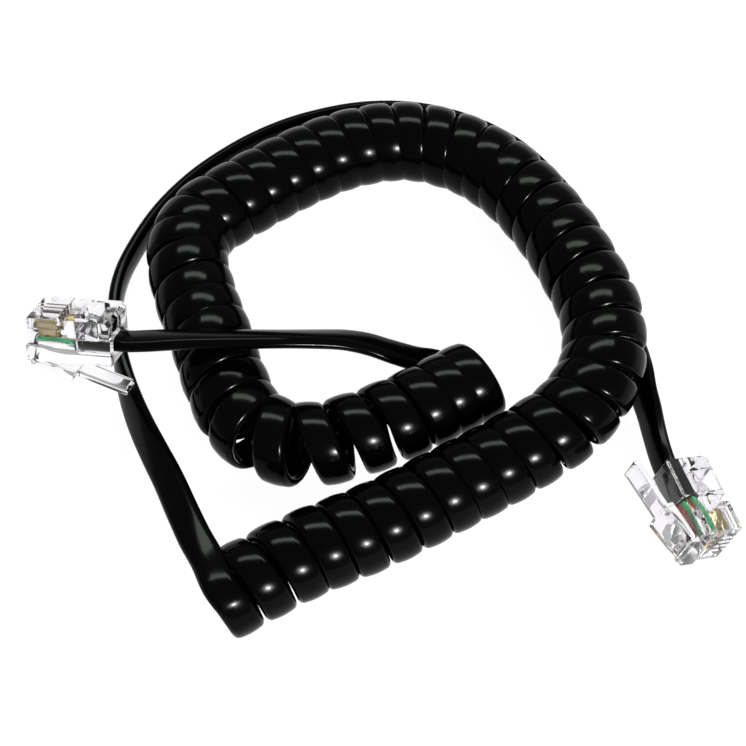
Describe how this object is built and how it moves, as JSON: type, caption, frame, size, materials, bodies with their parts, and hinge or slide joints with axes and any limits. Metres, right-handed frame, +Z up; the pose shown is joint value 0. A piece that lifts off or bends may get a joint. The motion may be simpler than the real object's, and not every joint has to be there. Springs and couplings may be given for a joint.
{
  "type": "handset cord",
  "caption": "Black coiled telephone handset cord with a clear modular plug and a springy locking tab on each end.",
  "frame": {"origin": "middle of the bounding box's bottom face, on the floor the cord lies on", "axes": "+Z up, +X to the right along the longest side of the looped cord, +Y away from the viewer"},
  "size_m": [0.0976, 0.0903, 0.0186],
  "materials": {
    "clear_plastic": "clear moulded polycarbonate, smooth",
    "gold_contact": "gold-plated blade",
    "cord_jacket": "glossy black soft vinyl",
    "wire_green": "thin insulation",
    "wire_red": "thin insulation",
    "wire_yellow": "thin insulation",
    "wire_black": "thin insulation"
  },
  "bodies": {
    "cord": {"plug_a_housing": "clear_plastic", "plug_a_clamp": "clear_plastic", "plug_a_jacket_end": "cord_jacket", "plug_a_contact_1": "gold_contact", "plug_a_contact_2": "gold_contact", "plug_a_contact_3": "gold_contact", "plug_a_contact_4": "gold_contact", "plug_a_conductor_green": "wire_green", "plug_a_conductor_red": "wire_red", "plug_a_conductor_yellow": "wire_yellow", "plug_a_conductor_black": "wire_black", "plug_b_housing": "clear_plastic", "plug_b_clamp": "clear_plastic", "plug_b_jacket_end": "cord_jacket", "plug_b_contact_1": "gold_contact", "plug_b_contact_2": "gold_contact", "plug_b_contact_3": "gold_contact", "plug_b_contact_4": "gold_contact", "plug_b_conductor_green": "wire_green", "plug_b_conductor_red": "wire_red", "plug_b_conductor_yellow": "wire_yellow", "plug_b_conductor_black": "wire_black", "cord_tail_a": "cord_jacket", "cord_coil": "cord_jacket", "cord_tail_b": "cord_jacket"},
    "latch_a": {"plug_a_latch": "clear_plastic"},
    "latch_b": {"plug_b_latch": "clear_plastic"}
  },
  "joints": [
    {"name": "latch_a_press", "type": "hinge", "parent": "cord", "child": "latch_a", "pos_m": [-0.04682, -0.00419, 0.00918], "axis": [-0.2051, -0.8254, 0.526], "range_deg": [0, 14], "stiffness_Nm_per_rad": 0.06},
    {"name": "latch_b_press", "type": "hinge", "parent": "cord", "child": "latch_b", "pos_m": [0.04108, -0.03292, 0.00718], "axis": [-0.3087, -0.1552, -0.9384], "range_deg": [0, 6], "stiffness_Nm_per_rad": 0.06}
  ]
}
